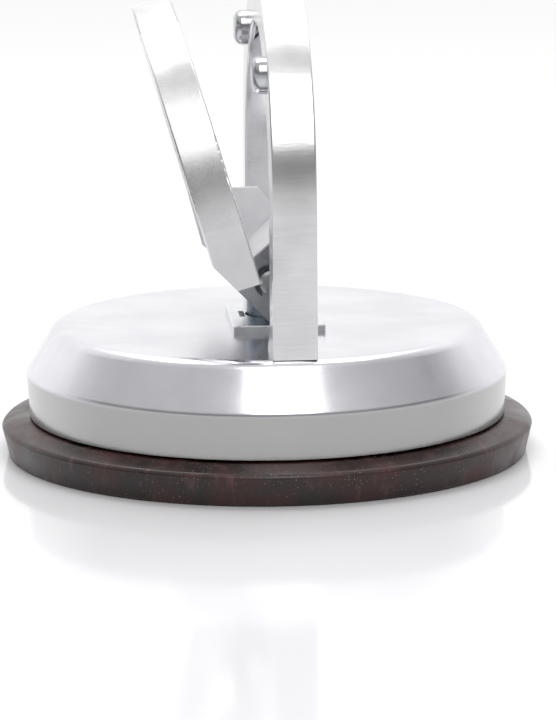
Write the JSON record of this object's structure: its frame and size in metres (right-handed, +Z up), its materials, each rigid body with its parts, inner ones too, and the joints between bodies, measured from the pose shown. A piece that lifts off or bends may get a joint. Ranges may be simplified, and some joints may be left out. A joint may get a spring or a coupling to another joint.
{
  "type": "vacuum suction cup",
  "caption": "Single vacuum suction cup with a rubber pad, a pressed aluminium shell, a fixed bow handle and a cam lever that pulls the pad's centre up.",
  "frame": {"origin": "centre of the rubber pad's flat sealing face", "axes": "+Z up through the cup's centre, +X across the two handles towards the fixed one, +Y along the handles"},
  "size_m": [0.1196, 0.1196, 0.105],
  "materials": {
    "rubber": "moulded, satin, lightly dusty",
    "shell_aluminium": "satin pressed aluminium",
    "handle_aluminium": "mill finish with fine drawing marks",
    "yoke_steel": "bright zinc plate",
    "zinc_steel": "bright zinc plate",
    "stud_steel": "blue zinc plate",
    "pin_steel": "ground bright steel",
    "spring_steel": "black spring steel",
    "rivet_steel": "polished rivet steel"
  },
  "bodies": {
    "base": {"suction_pad": "rubber", "shell": "shell_aluminium", "wear_plate": "zinc_steel", "fixed_handle": "handle_aluminium", "foot_rivet_front_outer": "rivet_steel", "foot_rivet_front_inner": "rivet_steel", "foot_rivet_rear_outer": "rivet_steel", "foot_rivet_rear_inner": "rivet_steel", "bump_rivet_front": "rivet_steel", "bump_rivet_rear": "rivet_steel"},
    "stud": {"pad_insert": "zinc_steel", "pull_stud": "stud_steel"},
    "lever": {"lever_handle": "handle_aluminium", "crossbar": "handle_aluminium", "cam_yoke": "yoke_steel", "pivot_pin": "pin_steel", "pin_spacer_front": "zinc_steel", "pin_spacer_rear": "zinc_steel", "pin_clip_front": "spring_steel", "pin_clip_rear": "spring_steel"}
  },
  "joints": [
    {"name": "stud_lift", "type": "slide", "parent": "base", "child": "stud", "axis": [0, 0, 1], "range_m": [-0.002, 0.00067], "deforming": ["suction_pad"]},
    {"name": "lever_hinge", "type": "hinge", "parent": "stud", "child": "lever", "pos_m": [0, 0, 0.0403], "axis": [0, 1, 0], "range_deg": [-38, 12.6]}
  ],
  "couplings": [
    {"joint": "stud_lift", "follows": "lever_hinge", "m_per_rad": 0.003}
  ]
}
